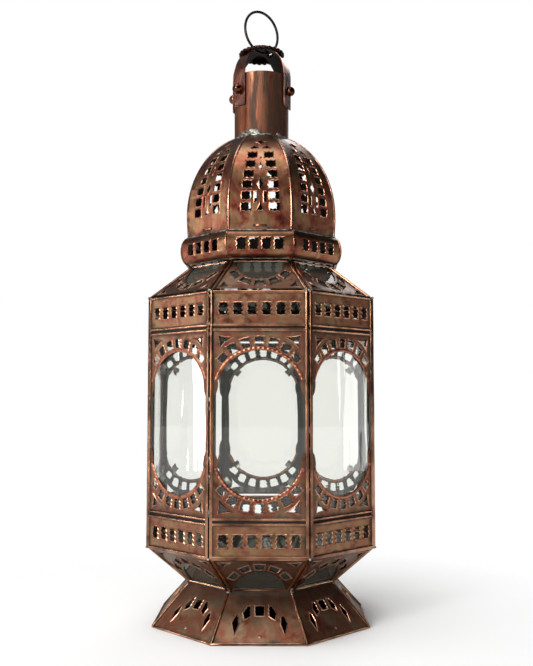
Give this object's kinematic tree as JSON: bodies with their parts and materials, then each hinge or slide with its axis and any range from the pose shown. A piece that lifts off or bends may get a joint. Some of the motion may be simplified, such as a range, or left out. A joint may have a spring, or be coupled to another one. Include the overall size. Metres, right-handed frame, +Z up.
{
  "type": "lantern",
  "caption": "Octagonal pierced copper candle lantern with glass windows, sloping tiers, ribbed dome, flue, hinged back door and hanging ring.",
  "frame": {"origin": "middle of the foot's bottom edge, on the ground", "axes": "+Z up along the lantern's axis, -Y out of the front face, +X to the right seen from the front"},
  "size_m": [0.2364, 0.2403, 0.6719],
  "materials": {
    "copper": "aged copper, satin",
    "dark_copper": "darkened copper, satin",
    "dome_copper": "red heat-tinted copper, semi-gloss",
    "tinplate": "dull tinplate",
    "iron": "dark iron",
    "clear_glass": "clear"
  },
  "bodies": {
    "lantern": {"taper_panel_front": "dark_copper", "roof_panel_front": "dark_copper", "dome_petal_front": "dome_copper", "taper_panel_front_right": "dark_copper", "roof_panel_front_right": "dark_copper", "dome_petal_front_right": "dome_copper", "taper_panel_right": "dark_copper", "roof_panel_right": "dark_copper", "dome_petal_right": "dome_copper", "taper_panel_back_right": "dark_copper", "roof_panel_back_right": "dark_copper", "dome_petal_back_right": "dome_copper", "taper_panel_back": "dark_copper", "roof_panel_back": "dark_copper", "dome_petal_back": "dome_copper", "taper_panel_back_left": "dark_copper", "roof_panel_back_left": "dark_copper", "dome_petal_back_left": "dome_copper", "taper_panel_left": "dark_copper", "roof_panel_left": "dark_copper", "dome_petal_left": "dome_copper", "taper_panel_front_left": "dark_copper", "roof_panel_front_left": "dark_copper", "dome_petal_front_left": "dome_copper", "wall_panel_front": "copper", "window_glass_front": "clear_glass", "wall_panel_front_right": "copper", "window_glass_front_right": "clear_glass", "wall_panel_right": "copper", "window_glass_right": "clear_glass", "wall_panel_back_right": "copper", "window_glass_back_right": "clear_glass", "wall_panel_back_left": "copper", "window_glass_back_left": "clear_glass", "wall_panel_left": "copper", "window_glass_left": "clear_glass", "wall_panel_front_left": "copper", "window_glass_front_left": "clear_glass", "foot_skirt": "dark_copper", "floor_plate": "tinplate", "candle_cup": "tinplate", "taper_glass": "clear_glass", "roof_glass": "clear_glass", "collar": "dome_copper", "flue_tube": "dome_copper", "strap_cross": "copper", "rosette": "dark_copper", "rivet_front_left": "iron", "rivet_front_right": "iron", "rivet_back_right": "iron", "rivet_back_left": "iron", "door_sill": "copper", "door_head": "copper", "hinge_wire": "iron"},
    "door": {"door_leaf": "copper", "door_glass": "clear_glass"},
    "catch": {"turn_catch": "copper"},
    "ring": {"hanging_ring": "iron"}
  },
  "joints": [
    {"name": "door_swing", "type": "hinge", "parent": "lantern", "child": "door", "pos_m": [-0.04628, 0.11995, 0.21], "axis": [0, 0, 1], "range_deg": [0, 160]},
    {"name": "catch_turn", "type": "hinge", "parent": "lantern", "child": "catch", "pos_m": [0.02, 0.1191, 0.3059], "axis": [0, 1, 0], "range_deg": [0, 90]},
    {"name": "ring_swing", "type": "hinge", "parent": "lantern", "child": "ring", "pos_m": [0, 0, 0.6262], "axis": [0.766, 0.6428, 0], "range_deg": [-40, 40]}
  ]
}
